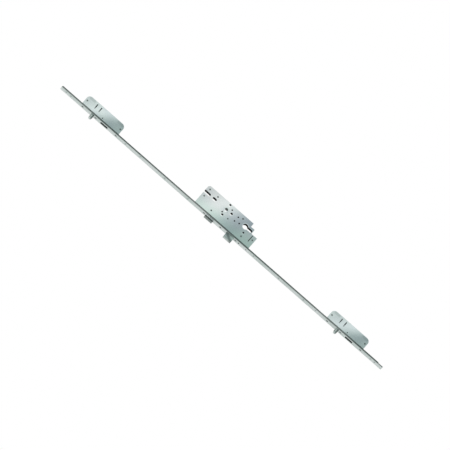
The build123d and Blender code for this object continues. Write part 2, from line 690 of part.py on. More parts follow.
def key_notch(side, finger_low):
    """The notch in a plate's finger where the key's cam takes hold."""
    near, far = sorted((side * PLATE_IN, side * PLATE_OUT))
    low = finger_low + NOTCH_RISE
    return block(near, far, FINGER_BACK - NOTCH_DEPTH, FINGER_BACK, low, low + NOTCH_HEIGHT)


def bolt_plate():
    """Plate on the bolt rod with the deadbolt's slanted slot and the first key notch."""
    foot_top = BOLT_FOOT_Z + FOOT_HEIGHT
    low = BOLT_PEG_Z - BOLT_PEG_R - SLOT_WALL
    corner = BOLT_PEG_Y + BOLT_PEG_R
    finger_low = CYLINDER_Z + BOLT_FINGER_RISE
    back_low = CYLINDER_Z + CYLINDER_R + BOLT_ROD_TRAVEL + PLATE_GAP
    back_step = BOLT_PLATE_BACK - FINGER_BACK
    points = [(BOLT_CLEAR_Y, low), (corner, low), (FINGER_FRONT, low + FINGER_FRONT - corner),
              (FINGER_FRONT, finger_low), (FINGER_BACK, finger_low), (FINGER_BACK, back_low - back_step),
              (BOLT_PLATE_BACK, back_low), (BOLT_PLATE_BACK, foot_top), (ROD_BACK, foot_top),
              (ROD_BACK, BOLT_FOOT_Z), (BOLT_CLEAR_Y, BOLT_FOOT_Z)]
    slanted = slot_x(BOLT_PEG_Y, BOLT_PEG_Z, BOLT_PEG_Y + BOLT_TRAVEL, BOLT_PEG_Z + BOLT_ROD_TRAVEL,
                     2 * BOLT_PEG_R + SLIDE_FIT, -PLATE_OUT, -PLATE_IN)
    return drive_plate(-1, points, BOLT_FOOT_Z, foot_top, [slanted, key_notch(-1, finger_low)])


def hook_key_plate():
    """Plate on the hook rod, inside the centre case, with the second key notch."""
    foot_low = BOLT_TOP + HOOK_ROD_TRAVEL + PLATE_GAP
    foot_top = foot_low + FOOT_HEIGHT
    finger_low = CYLINDER_Z + HOOK_FINGER_RISE
    points = [(ROD_BACK, foot_low), (BOLT_CLEAR_Y, foot_low),
              (FINGER_FRONT, foot_low - FINGER_FRONT + BOLT_CLEAR_Y), (FINGER_FRONT, finger_low),
              (FINGER_BACK, finger_low), (FINGER_BACK, foot_top), (ROD_BACK, foot_top)]
    return drive_plate(1, points, foot_low, foot_top, [key_notch(1, finger_low)])


def box_outline(pin_z):
    """A bolt box's outline, seen from +X."""
    low = pin_z - BOX_BELOW
    high = pin_z + BOX_ABOVE
    return [(CASE_FRONT, low), (BOX_BACK, low), (BOX_BACK, high), (CASE_FRONT, high)]


def box_cuts(pin_z, x0, x1):
    """Holes through both side plates of a bolt box: its pillars and the hook's pivot."""
    cuts = [round_x(y, pin_z + dz, PILLAR_NECK_R, x0, x1) for y, dz in BOX_PILLARS]
    cuts.append(round_x(HOOK_PIVOT_Y, pin_z - HOOK_DROP, PILLAR_NECK_R, x0, x1))
    return cuts


def box_body(pin_z):
    """Tray of a bolt box."""
    outline = box_outline(pin_z)
    return tray(outline, outline[1:3], BOX_CORNER_R) - box_cuts(pin_z, -HALF, INNER)


def box_cover(pin_z):
    """Cover of a bolt box, with the guide slits beside the pin and two pressed areas."""
    outline = box_outline(pin_z)
    cover = flat_cover(outline, outline[1:3], BOX_CORNER_R)
    cuts = box_cuts(pin_z, INNER, HALF)
    width = 2 * GUIDE_PEG_R + SLIDE_FIT
    for dz in (-GUIDE_PEG_OFFSET, GUIDE_PEG_OFFSET):
        z = pin_z + dz
        cuts.append(slot_x(GUIDE_PEG_Y, z, GUIDE_PEG_Y + PIN_TRAVEL, z, width, INNER, HALF))
    cuts.append(round_x(BOX_DOT[0], pin_z + BOX_DOT[1], BOX_DOT_R, INNER, HALF))
    r = PRESS_WIDTH / 2
    y = BOX_BACK - PRESS_INSET - r
    for low, high in PRESS_RANGES:
        cuts.append(slot_x(y, pin_z + low + r, y, pin_z + high - r, PRESS_WIDTH, HALF - PRESS_DEPTH, HALF))
    return cover - cuts


def box_posts(pin_z):
    """The three posts of a bolt box; the middle one keeps clear of the hook plate."""
    upper_z, middle_z, lower_z = [pin_z + dz for dz in BOX_SCREWS]
    upper = screw_post(upper_z, upper_z - POST_HALF, upper_z + POST_HALF, -INNER, INNER)
    middle = screw_post(middle_z, middle_z - POST_HALF, middle_z + POST_HALF, -INNER, NARROW_POST)
    floor = pin_z - BOX_BELOW + SHEET
    lower = screw_post(lower_z, floor, lower_z + POST_HALF, -INNER, INNER)
    return Compound(children=[upper, middle, lower])


def pin_bolt(pin_z):
    """Round pin with a tapered, rounded tip and a thinner shank behind the head."""
    head = cone_y(0, pin_z, PIN_TIP_R, PIN_R, -PIN_TRAVEL, PIN_TAPER - PIN_TRAVEL)
    head = fillet(head.edges().sort_by(Axis.Y)[0], PIN_TIP_ROUND)
    head += round_y(0, pin_z, PIN_R, PIN_TAPER - PIN_TRAVEL, PIN_HEAD_BACK)
    return head + round_y(0, pin_z, PIN_TAIL_R, PIN_HEAD_BACK, CARRIAGE_FRONT)


def pin_carriage(pin_z):
    """Cross block that carries the pin and runs on its guide pegs."""
    x = BOLT_TAIL_HALF
    low = pin_z - CARRIAGE_HALF
    body = block(-x, x, CARRIAGE_FRONT, CARRIAGE_BACK, low, low + 2 * CARRIAGE_HALF)
    return body - pin_pegs(pin_z)


def pin_pegs(pin_z):
    """Two guide pegs in the cover's slits and one drive peg towards the bolt rod's plate."""
    pegs = [round_x(GUIDE_PEG_Y, pin_z + dz, GUIDE_PEG_R, 0, HALF + PILLAR_PROUD)
            for dz in (-GUIDE_PEG_OFFSET, GUIDE_PEG_OFFSET)]
    pegs.append(round_x(DRIVE_PEG_Y, pin_z, DRIVE_PEG_R, -PLATE_OUT, BOLT_TAIL_HALF))
    return Compound(children=pegs)


def pin_plate(pin_z):
    """Plate on the bolt rod with the pin's slanted slot, inside a bolt box."""
    front = PIN_HEAD_BACK + PIN_TRAVEL + SLIDE_FIT
    back = BOX_BACK - SHEET - SLIDE_FIT
    low = pin_z - DRIVE_PEG_R - SLOT_WALL
    corner = DRIVE_PEG_Y + DRIVE_PEG_R
    foot_low = pin_z + PIN_R + BOLT_ROD_TRAVEL + PLATE_GAP
    top = pin_z + BOX_SCREWS[0] - POST_HALF - PLATE_GAP
    points = [(front, low), (corner, low), (back, low + back - corner), (back, top), (ROD_BACK, top),
              (ROD_BACK, foot_low), (front, foot_low)]
    slanted = slot_x(DRIVE_PEG_Y, pin_z, DRIVE_PEG_Y + PIN_TRAVEL, pin_z + BOLT_ROD_TRAVEL,
                     2 * DRIVE_PEG_R + SLIDE_FIT, -PLATE_OUT, -PLATE_IN)
    return drive_plate(-1, points, foot_low, top, [slanted])


def hook_peg_place(pivot_z):
    """Where the hook's drive peg sits while the hook is in."""
    y = HOOK_PIVOT_Y + HOOK_PEG_RADIUS * math.sin(HOOK_PEG_START)
    return y, pivot_z - HOOK_PEG_RADIUS * math.cos(HOOK_PEG_START)


def swing_hook(pivot_z):
    """Crescent hook on a hub, drawn in; it swings out about its pivot, nose first."""
    x = HOOK_HALF
    centre = (HOOK_PIVOT_Y, pivot_z)
    back, nose = HOOK_BACK_DEG, HOOK_NOSE_DEG
    middle = (back + nose) / 2
    outer = ThreePointArc(*[turned(*centre, HOOK_OUTER_R, a) for a in (back, middle, nose)])
    inner = ThreePointArc(*[turned(*centre, HOOK_INNER_R, a) for a in (nose, middle, back)])
    crescent = make_face([outer, Line(outer @ 1, inner @ 0), inner, Line(inner @ 1, outer @ 0)])
    claw = Pos(-x, 0, 0) * extrude(Plane.YZ * crescent, 2 * x)
    claw = fillet(claw.edges().filter_by(Axis.X).group_by(Axis.Y)[0], HOOK_TIP_ROUND)
    into_claw = HOOK_INNER_R + HOOK_BAND / 2
    arm = sheet([turned(*centre, HOOK_ROOT_R, back + HOOK_ROOT_FAR_DEG), turned(*centre, into_claw, back),
                 turned(*centre, into_claw, back + HOOK_ARM_DEG),
                 turned(*centre, HOOK_ROOT_R, back + HOOK_ROOT_NEAR_DEG)], -x, x)
    body = claw + arm + round_x(*centre, HOOK_HUB_R, -x, x)
    body += slot_x(*centre, *hook_peg_place(pivot_z), 2 * HOOK_LOBE_R, -x, x)
    return body - round_x(*centre, HOOK_PIVOT_R + RUN_FIT, -x, x) - hook_peg(pivot_z)


def hook_peg(pivot_z):
    """Drive peg of a hook, which rides in the hook plate's cross slot."""
    return round_x(*hook_peg_place(pivot_z), HOOK_PEG_R, -HOOK_HALF, PLATE_OUT)


def hook_plate(pin_z):
    """Plate on the hook rod with the cross slot that turns the hook, inside a bolt box."""
    pivot_z = pin_z - HOOK_DROP
    peg_y, peg_z = hook_peg_place(pivot_z)
    far_y = HOOK_PIVOT_Y + HOOK_PEG_RADIUS
    front = HOOK_PIVOT_Y + HOOK_PIVOT_R + HOOK_PIVOT_GAP
    back = far_y + HOOK_PEG_R + SLOT_WALL
    low = peg_z - HOOK_PEG_R - SLOT_WALL
    foot_low = pivot_z + HOOK_PIVOT_R + HOOK_ROD_TRAVEL + PLATE_GAP
    top = pin_z - GUIDE_PEG_OFFSET - GUIDE_PEG_R - PLATE_GAP
    points = [(front, low), (back, low), (back, top), (ROD_BACK, top), (ROD_BACK, foot_low),
              (front, foot_low)]
    cross = slot_x(peg_y, peg_z, far_y, peg_z, 2 * (HOOK_PEG_R + HOOK_SLOT_PLAY), PLATE_IN, PLATE_OUT)
    return drive_plate(1, points, foot_low, top, [cross])


def build_centre():
    """Save the centre case and what it holds; gives the tabs of its two drive plates."""
    save(case_body(), "case_body")
    save(case_cover(), "case_cover")
    save(pillars(case_pillar_places()), "case_pillars")
    save(case_posts(), "case_posts")
    save(slotted_screws(CASE_SCREWS), "case_screws")

    save(latch_head(), "latch_head")
    save(latch_tail(), "latch_tail")
    save(latch_pin(), "latch_pin")
    save(latch_stop(), "latch_stop")
    save(latch_spring(), "latch_spring")
    save(follower(), "follower")
    save(follower_spring(), "follower_spring")

    save(deadbolt_head(), "deadbolt_head")
    save(deadbolt_tail(), "deadbolt_tail")
    save(deadbolt_pins(), "deadbolt_pins")
    save(deadbolt_peg(), "deadbolt_peg")

    bolt, bolt_tab = bolt_plate()
    hook, hook_tab = hook_key_plate()
    save(bolt, "bolt_plate")
    save(hook, "hook_key_plate")
    return bolt_tab, hook_tab


def build_box(place, pin_z):
    """Save one bolt box and what it holds; gives the tabs of its two drive plates."""
    pivot_z = pin_z - HOOK_DROP
    save(box_body(pin_z), f"{place}_box_body")
    save(box_cover(pin_z), f"{place}_box_cover")
    save(pillars([(y, pin_z + dz) for y, dz in BOX_PILLARS]), f"{place}_box_pillars")
    save(box_posts(pin_z), f"{place}_box_posts")
    save(slotted_screws([pin_z + dz for dz in BOX_SCREWS]), f"{place}_box_screws")

    save(pin_bolt(pin_z), f"{place}_pin")
    save(pin_carriage(pin_z), f"{place}_pin_carriage")
    save(pin_pegs(pin_z), f"{place}_pin_pegs")
    save(swing_hook(pivot_z), f"{place}_hook")
    save(hook_peg(pivot_z), f"{place}_hook_peg")
    save(shouldered_rivet(HOOK_PIVOT_Y, pivot_z, HOOK_PIVOT_R), f"{place}_hook_pivot")

    bolt, bolt_tab = pin_plate(pin_z)
    hook, hook_tab = hook_plate(pin_z)
    save(bolt, f"{place}_pin_plate")
    save(hook, f"{place}_hook_plate")
    return bolt_tab, hook_tab


def build():
    """Make and save every piece."""
    os.makedirs("parts", exist_ok=True)
    save(faceplate(), "faceplate")
    save(guide_studs(), "rod_guide_studs")
    tabs = [build_centre()]
    tabs += [build_box(place, pin_z) for place, pin_z in PINS.items()]
    save(drive_rod(-1, BOLT_ROD_TRAVEL, [bolt_tab for bolt_tab, _ in tabs]), "bolt_rod")
    save(drive_rod(1, HOOK_ROD_TRAVEL, [hook_tab for _, hook_tab in tabs]), "hook_rod")


if __name__ == "__main__":
    build()
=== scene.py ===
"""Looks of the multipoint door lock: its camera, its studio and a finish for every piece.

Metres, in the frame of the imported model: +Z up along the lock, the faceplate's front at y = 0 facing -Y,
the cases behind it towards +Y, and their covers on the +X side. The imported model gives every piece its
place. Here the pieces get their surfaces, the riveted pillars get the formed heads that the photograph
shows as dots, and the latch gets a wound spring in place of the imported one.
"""

import logging
import math
from dataclasses import dataclass, replace
from enum import Enum

import bmesh
import bpy
from mathutils import Matrix, Vector


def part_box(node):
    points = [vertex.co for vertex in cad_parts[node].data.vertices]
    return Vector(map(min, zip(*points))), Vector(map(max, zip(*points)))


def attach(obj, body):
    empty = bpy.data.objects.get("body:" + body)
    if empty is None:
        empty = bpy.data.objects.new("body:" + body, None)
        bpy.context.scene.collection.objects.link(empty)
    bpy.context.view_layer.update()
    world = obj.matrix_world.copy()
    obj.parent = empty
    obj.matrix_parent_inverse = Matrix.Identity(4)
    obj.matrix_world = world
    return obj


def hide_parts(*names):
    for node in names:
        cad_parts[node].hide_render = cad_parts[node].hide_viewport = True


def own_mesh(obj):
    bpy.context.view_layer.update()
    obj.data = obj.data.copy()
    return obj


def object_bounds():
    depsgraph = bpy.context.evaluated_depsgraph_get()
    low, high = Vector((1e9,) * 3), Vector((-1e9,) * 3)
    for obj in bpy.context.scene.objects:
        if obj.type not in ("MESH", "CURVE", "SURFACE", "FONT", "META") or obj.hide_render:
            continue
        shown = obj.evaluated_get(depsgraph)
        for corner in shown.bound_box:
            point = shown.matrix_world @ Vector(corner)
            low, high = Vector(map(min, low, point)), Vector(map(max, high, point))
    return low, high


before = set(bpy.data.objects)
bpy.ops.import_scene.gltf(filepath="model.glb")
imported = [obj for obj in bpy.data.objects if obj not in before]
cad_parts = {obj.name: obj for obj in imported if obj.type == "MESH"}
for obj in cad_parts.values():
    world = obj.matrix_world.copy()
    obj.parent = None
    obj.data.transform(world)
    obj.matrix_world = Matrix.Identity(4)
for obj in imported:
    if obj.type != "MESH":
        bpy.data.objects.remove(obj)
CAD_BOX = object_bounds()

MM = 0.001
WHITE = "#FFFFFF"
LOG = logging.getLogger("door_lock")

Node = bpy.types.Node
Socket = bpy.types.NodeSocket
Source = Node | Socket
Material = bpy.types.Material
Piece = bpy.types.Object
Triple = tuple[float, float, float]

# How far a case's flat sides are from the lock's middle, and how deep behind the faceplate's front the middle
# of a side is, in mm
HALF_CASE_MM = 7.25
CASE_MIDDLE_MM = 35.0

# What makes a value a smooth step, from 0 to 1 unless it is told otherwise
SMOOTH = {"interpolation_type": "SMOOTHSTEP"}

# The colour mixer's inputs and its output, by their numbers
MIX_FACTOR, MIX_UNDER, MIX_OVER = 0, 6, 7
MIX_RESULT = 2

# How squarely a surface has to look along a direction, as the cosine between them: where a mark starts to
# show, and where it is full
CUT_FACING = {"From Min": 0.6, "From Max": 0.8}
SOFT_FACING = {"From Min": 0.1, "From Max": 0.8}

# A random pattern stays near 0.5, so what it drives is stretched between these values of it
PATCH_STRETCH = {"From Min": 0.35, "From Max": 0.65}
SHADE_STRETCH = {"From Min": 0.3, "From Max": 0.7}
ROUGHNESS_STRETCH = {"From Min": 0.25, "From Max": 0.75}

# How many finer layers the patches and the grain have
PATCH_LAYERS = 2.0
GRAIN_LAYERS = 3.0


class Side(Enum):
    """The two flat sides of a case: the cover's, towards +X, and the tray's, towards -X."""

    COVER = 1.0
    TRAY = -1.0


class Along(Enum):
    """An axis of the lock, by its letter."""

    WIDTH = "X"
    DEPTH = "Y"
    HEIGHT = "Z"


class Place(Enum):
    """The two bolt boxes, with the height of each one's pin above the spindle in mm."""

    UPPER = 460.7
    LOWER = -457.9

    @property
    def word(self) -> str:
        """The start of this box's node names."""
        return self.name.lower()


def linear(colour: str) -> tuple[float, float, float, float]:
    """Turn an sRGB colour into linear light.

    Args:
        colour: hex digits after a hash, as in "#C2C9C7".

    Returns:
        Red, green, blue and an alpha of 1.
    """
    values = [int(colour[i:i + 2], 16) / 255 for i in (1, 3, 5)]
    red, green, blue = [v / 12.92 if v <= 0.04045 else ((v + 0.055) / 1.055) ** 2.4 for v in values]
    return red, green, blue, 1.0


class Wiring:
    """A node tree that nodes are added to.

    Attributes:
        tree: the tree, empty at first.
    """

    def __init__(self, tree: bpy.types.NodeTree) -> None:
        """Take a tree and empty it."""
        self.tree = tree
        tree.nodes.clear()

    def add(self, kind: str, inputs: dict[int | str, object] | None = None, **settings: object) -> Node:
        """Add a node with its settings and links.

        Args:
            kind: the node's class name.
            inputs: by input name or number, a value to set, or a socket or a node to link. A node gives its
                first output.
            settings: the node's own properties.

        Returns:
            The new node.
        """
        node = self.tree.nodes.new(kind)
        for name, value in settings.items():
            setattr(node, name, value)
        for key, value in (inputs or {}).items():
            if isinstance(value, Node):
                value = value.outputs[0]
            if isinstance(value, Socket):
                self.tree.links.new(value, node.inputs[key])
            else:
                node.inputs[key].default_value = value
        return node


class Skin(Wiring):
    """One material being made: its nodes, and the coordinates that its patterns are drawn in.

    Attributes:
        material: the new material.
        mm: the surface point in the lock's frame at rest, in mm.
        normal: the surface normal in the same frame.
        parts: the point's three coordinates in mm, by axis.
        facing: the normal's three components, by axis.
    """

    def __init__(self, name: str) -> None:
        """Start an empty material.

        Args:
            name: the material's name.
        """
        self.material = bpy.data.materials.new(name)
        self.material.use_nodes = True
        super().__init__(self.material.node_tree)
        place = self.add("ShaderNodeTexCoord")
        self.mm = self.add("ShaderNodeVectorMath", {0: place.outputs["Object"], "Scale": 1 / MM},
                           operation="SCALE")
        self.normal = place.outputs["Normal"]
        split = self.add("ShaderNodeSeparateXYZ", {0: self.mm})
        self.parts = {axis: split.outputs[axis.value] for axis in Along}
        split = self.add("ShaderNodeSeparateXYZ", {0: self.normal})
        self.facing = {axis: split.outputs[axis.value] for axis in Along}

    def noise(self, size_mm: Triple, layers: float) -> Node:
        """A random pattern from 0 to 1, with spots of this size along X, Y and Z and finer layers on them."""
        shrunk = self.add("ShaderNodeVectorMath", {0: self.mm, 1: size_mm}, operation="DIVIDE")
        return self.add("ShaderNodeTexNoise", {"Vector": shrunk, "Scale": 1.0, "Detail": layers})


@dataclass(frozen=True)
class Mark:
    """A region of a surface that looks different from the rest.

    Attributes:
        colour: its sRGB colour.
        strength: how fully that colour covers what is under it, from 0 to 1.
        rougher: how much is added to the roughness there.
    """

    colour: str
    strength: float
    rougher: float

    def mask(self, skin: Skin) -> Source:
        """Where the mark is: 1 on it and 0 off it."""
        raise NotImplementedError


@dataclass(frozen=True)
class CutFaces(Mark):
    """Faces that a shear or a punch cut, which look along one axis.

    Attributes:
        along: the axis that they face, either way.
    """

    along: Along

    def mask(self, skin: Skin) -> Source:
        """1 on the faces that look along the axis."""
        squarely = skin.add("ShaderNodeMath", {0: skin.facing[self.along]}, operation="ABSOLUTE")
        return skin.add("ShaderNodeMapRange", {"Value": squarely, **CUT_FACING}, **SMOOTH)


@dataclass(frozen=True)
class Facing(Mark):
    """Faces that look one way.

    Attributes:
        toward: the unit direction that they face.
    """

    toward: Triple

    def mask(self, skin: Skin) -> Source:
        """1 on faces that look that way, falling to 0 on faces that look aside."""
        squarely = skin.add("ShaderNodeVectorMath", {0: skin.normal, 1: self.toward}, operation="DOT_PRODUCT")
        return skin.add("ShaderNodeMapRange", {"Value": squarely.outputs["Value"], **SOFT_FACING}, **SMOOTH)


@dataclass(frozen=True)
class Band(Mark):
    """A stretch of the surface between two planes.

    Attributes:
        across: the unit direction that leads from one plane to the other.
        start_mm: how far along it the band becomes full.
        end_mm: how far along it the band stops being full.
        soft_mm: how far its edges fade.
    """

    across: Triple
    start_mm: float
    end_mm: float
    soft_mm: float

    def mask(self, skin: Skin) -> Source:
        """Draw the band.

        Args:
            skin: the material that it is drawn in.

        Returns:
            1 between the planes, falling to 0 on both sides.
        """
        reach = skin.add("ShaderNodeVectorMath", {0: skin.mm, 1: self.across}, operation="DOT_PRODUCT")
        limits = ((self.start_mm - self.soft_mm, self.start_mm), (self.end_mm + self.soft_mm, self.end_mm))
        rising, falling = [skin.add("ShaderNodeMapRange", {
            "Value": reach.outputs["Value"], "From Min": empty, "From Max": full}, **SMOOTH)
            for empty, full in limits]
        return skin.add("ShaderNodeMath", {0: rising, 1: falling}, operation="MULTIPLY")


@dataclass(frozen=True)
class Spot:
    """A round or an upright oblong place on the flat side of a case.

    Attributes:
        depth_mm: how far it is behind the faceplate's front.
        low_mm: the height of its lower end's centre.
        high_mm: the height of its upper end's centre.
        radius_mm: half its width.
    """

    depth_mm: float
    low_mm: float
    high_mm: float
    radius_mm: float


@dataclass(frozen=True)
class Spots(Mark):
    """Places on the flat side of a case, and a soft ring round each.

    Attributes:
        soft_mm: how wide the ring is.
        spots: the places.
    """

    soft_mm: float
    spots: tuple[Spot, ...]

    def mask(self, skin: Skin) -> Source:
        """Draw the places and their rings.

        Args:
            skin: the material that they are drawn in.

        Returns:
            1 in the places, falling to 0 at the rings' outsides.
        """
        depth, height = skin.parts[Along.DEPTH], skin.parts[Along.HEIGHT]
        total: Source | float = 0.0
        for spot in self.spots:
            capped = skin.add("ShaderNodeMath", {0: height, 1: spot.high_mm}, operation="MINIMUM")
            nearest = skin.add("ShaderNodeMath", {0: capped, 1: spot.low_mm}, operation="MAXIMUM")
            behind = skin.add("ShaderNodeMath", {0: depth, 1: spot.depth_mm}, operation="SUBTRACT")
            above = skin.add("ShaderNodeMath", {0: height, 1: nearest}, operation="SUBTRACT")
            away = skin.add("ShaderNodeCombineXYZ", {0: behind, 1: above})
            gap = skin.add("ShaderNodeVectorMath", {0: away}, operation="LENGTH")
            ring = skin.add("ShaderNodeMapRange", {
                "Value": gap.outputs["Value"], "From Min": spot.radius_mm + self.soft_mm,
                "From Max": spot.radius_mm}, **SMOOTH)
            total = skin.add("ShaderNodeMath", {0: total, 1: ring}, operation="MAXIMUM")
        return total


@dataclass(frozen=True)
class Finish:
    """A metal surface: what it is made of, and how its surface was made.

    Attributes:
        name: the material's name, after the real one.
        light: the sRGB colour of its lightest patches.
        dark: the sRGB colour of its darkest patches.
        patch_mm: how large a patch is along X, Y and Z.
        roughness: the roughness of its smoothest and roughest spots.
        grain_mm: how large its finest marks are along X, Y and Z.
        grain_depth_mm: how deep those marks are.
        grain_contrast: how much lighter or darker they make the colour, from 0 to 1.
        marks: regions that look different, each over the ones before it.
    """

    name: str
    light: str
    dark: str
    patch_mm: Triple
    roughness: tuple[float, float]
    grain_mm: Triple
    grain_depth_mm: float
    grain_contrast: float
    marks: tuple[Mark, ...] = ()

    def make(self) -> Material:
        """Make the material.

        Returns:
            The finished material.
        """
        skin = Skin(self.name)
        patches = skin.add("ShaderNodeMapRange", {
            "Value": skin.noise(self.patch_mm, PATCH_LAYERS), **PATCH_STRETCH}, **SMOOTH)
        colour = skin.add("ShaderNodeMix", {
            MIX_FACTOR: patches, MIX_UNDER: linear(self.dark), MIX_OVER: linear(self.light)},
            data_type="RGBA").outputs[MIX_RESULT]
        grain = skin.noise(self.grain_mm, GRAIN_LAYERS)
        shade = skin.add("ShaderNodeMapRange", {
            "Value": grain, **SHADE_STRETCH, "To Min": 1 - self.grain_contrast}, **SMOOTH)
        colour = skin.add("ShaderNodeVectorMath", {0: colour, "Scale": shade}, operation="SCALE")
        smoothest, roughest = self.roughness
        roughness = skin.add("ShaderNodeMapRange", {
            "Value": grain, **ROUGHNESS_STRETCH, "To Min": smoothest, "To Max": roughest}, **SMOOTH)
        for mark in self.marks:
            cover = skin.add("ShaderNodeMath", {0: mark.mask(skin), 1: mark.strength}, operation="MULTIPLY")
            colour = skin.add("ShaderNodeMix", {
                MIX_FACTOR: cover, MIX_UNDER: colour, MIX_OVER: linear(mark.colour)},
                data_type="RGBA").outputs[MIX_RESULT]
            added = skin.add("ShaderNodeMath", {0: cover, 1: mark.rougher}, operation="MULTIPLY")
            roughness = skin.add("ShaderNodeMath", {0: roughness, 1: added}, operation="ADD")
        relief = skin.add("ShaderNodeBump", {
            "Height": grain, "Distance": self.grain_depth_mm * MM, "Strength": 1.0})
        shader = skin.add("ShaderNodeBsdfPrincipled", {
            "Base Color": colour, "Metallic": 1.0, "Roughness": roughness, "Normal": relief})
        skin.add("ShaderNodeOutputMaterial", {"Surface": shader})
        return skin.material


# Unit directions that marks run in
SIDEWARD = (1.0, 0.0, 0.0)
FORWARD = (0.0, -1.0, 0.0)
BACKWARD = (0.0, 1.0, 0.0)
DOWNWARD = (0.0, 0.0, -1.0)
# The slant of the deadbolt's painted dark reflection
DARK_REFLECTION_SLANT = (0.0, 0.861, -0.509)

# Where the centre case is pierced, and where the boxes' covers are pressed in. Most holes get a painted
# highlight round them, set a little towards the front, so they are brightest there.
CYLINDER_HOLE = (Spot(50.0, -72.0, -72.0, 8.75),)
PLATE_SLOTS = (Spot(49.6, 63.6, 86.0, 4.0), Spot(49.6, 41.3, 47.5, 4.0))
ROUND_HOLES = (Spot(29.8, 0.0, 0.0, 3.5), Spot(67.8, 0.0, 0.0, 3.5), Spot(49.8, -18.9, -18.9, 4.0),
               Spot(30.3, -79.0, -79.0, 3.0))
# The follower's square hole, darkened with painted shade, and the small painted highlight in front of it
SPINDLE_HOLE = (Spot(50.6, 0.0, 0.0, 4.6),)
HUB_HIGHLIGHT = (Spot(44.8, 0.0, 0.0, 1.6),)
PRESSED_AREAS = tuple(Spot(33.4, place.value + low, place.value + high, 2.4)
                      for place in Place for low, high in ((19.2, 33.8), (-84.8, -68.2)))

# Real rolling, drawing and grinding lines lie some hundredths of a millimetre apart, too fine to show. Each
# grain below has their direction and is drawn as coarse as it needs to show close by.

# Cold-rolled steel strip, zinc plated and clear passivated. Rolling leaves faint lines along its length, the
# plating a pale silver with a cool cast, and the shear a duller, darker cut along both long edges.
ROLLED_ZINC_STRIP = Finish(
    name="steel_strip_rolled_zinc_plated", light="#D2D9D7", dark="#C1CCC8", patch_mm=(30.0, 30.0, 70.0),
    roughness=(0.30, 0.40), grain_mm=(1.2, 1.2, 60.0), grain_depth_mm=0.004, grain_contrast=0.06,
    marks=(CutFaces("#646C6A", 0.95, 0.12, Along.WIDTH),))

# Deep-drawn steel sheet, zinc plated. The bath leaves large soft patches. The sheet is a little greener
# towards the front edge, and a painted highlight rims most holes.
PRESSED_ZINC_SHEET = Finish(
    name="steel_sheet_pressed_zinc_plated", light="#C1C8C8", dark="#BAC1C4", patch_mm=(60.0, 45.0, 60.0),
    roughness=(0.28, 0.36), grain_mm=(2.5, 2.5, 2.5), grain_depth_mm=0.004, grain_contrast=0.03,
    marks=(Band("#A8C4B8", 0.45, 0.0, BACKWARD, -10.0, 8.0, 40.0),
           Spots("#EDF3F1", 0.8, -0.08, 3.0, CYLINDER_HOLE), Spots("#EDF3F1", 0.45, -0.08, 1.4, PLATE_SLOTS),
           Spots("#EAF0EE", 0.7, 0.0, 1.6, ROUND_HOLES)))

# The tray is drawn from the same sheet. Its faces that look towards the cover and those that look to the
# front, most of them inside the case, are darkened with painted shade and made duller.
SHADED_ZINC_TRAY = replace(
    PRESSED_ZINC_SHEET, name="steel_tray_pressed_zinc_painted_shade",
    marks=(*PRESSED_ZINC_SHEET.marks, Facing("#343A39", 0.88, 0.3, SIDEWARD),
           Facing("#232827", 0.9, 0.3, FORWARD)))

# The same sheet on the bolt boxes. Their covers are pressed in by a third of a millimetre at two places, and
# are drawn darker and duller there.
PRESSED_ZINC_BOX = Finish(
    name="steel_box_pressed_zinc_plated", light="#BFC9C8", dark="#B8C2C3", patch_mm=(60.0, 40.0, 50.0),
    roughness=(0.28, 0.36), grain_mm=(2.5, 2.5, 2.5), grain_depth_mm=0.004, grain_contrast=0.03,
    marks=(Spots("#8C9693", 0.35, 0.10, 1.8, PRESSED_AREAS),))

# Cold-drawn flat steel with a thin oily plating: darker than the sheet, with drawing lines along its length.
DRAWN_STEEL_ROD = Finish(
    name="flat_steel_drawn_oiled", light="#6E7674", dark="#59615F", patch_mm=(20.0, 20.0, 90.0),
    roughness=(0.34, 0.46), grain_mm=(0.8, 0.8, 50.0), grain_depth_mm=0.004, grain_contrast=0.12)

# Blanked steel plate, plated like the rods: flat and plain, with a grey rolled skin.
BLANKED_STEEL_PLATE = Finish(
    name="steel_plate_blanked_plated", light="#929B98", dark="#7C8583", patch_mm=(25.0, 25.0, 25.0),
    roughness=(0.34, 0.44), grain_mm=(1.0, 1.0, 12.0), grain_depth_mm=0.004, grain_contrast=0.10)

# Steel latch, nickel plated and belt ground. A painted highlight lies on its root, where it passes the
# faceplate.
# In front of that, painted shade darkens it: a dark band next to the faceplate, and grey further out to the
# tip.
GROUND_NICKEL_LATCH = Finish(
    name="steel_latch_ground_nickel", light="#DEE6E3", dark="#CED7D4", patch_mm=(12.0, 9.0, 14.0),
    roughness=(0.24, 0.34), grain_mm=(0.6, 6.0, 0.6), grain_depth_mm=0.005, grain_contrast=0.10,
    marks=(Band("#828987", 0.95, 0.05, BACKWARD, -14.0, -6.0, 1.0),
           Band("#3C4241", 0.95, 0.05, BACKWARD, -6.0, -2.0, 1.0),
           Band(WHITE, 0.9, 0.0, BACKWARD, -1.2, 4.0, 0.8)))

# Steel deadbolt with the same plating. A dark reflection is painted across it at a slant, as one darker
# stroke.
GROUND_NICKEL_BOLT = Finish(
    name="steel_deadbolt_ground_nickel", light="#C4CECA", dark="#AEB7B4", patch_mm=(14.0, 10.0, 14.0),
    roughness=(0.24, 0.34), grain_mm=(0.6, 6.0, 0.6), grain_depth_mm=0.005, grain_contrast=0.10,
    marks=(Band("#5A615F", 0.7, 0.0, DARK_REFLECTION_SLANT, 20.5, 22.5, 6.0),))

# Case-hardened steel hooks, nickel plated after tumbling: dark satin with rounded edges.
TUMBLED_NICKEL_HOOK = Finish(
    name="steel_hook_tumbled_nickel", light="#A0A8A5", dark="#868E8C", patch_mm=(10.0, 10.0, 10.0),
    roughness=(0.28, 0.38), grain_mm=(1.5, 1.5, 1.5), grain_depth_mm=0.008, grain_contrast=0.10)
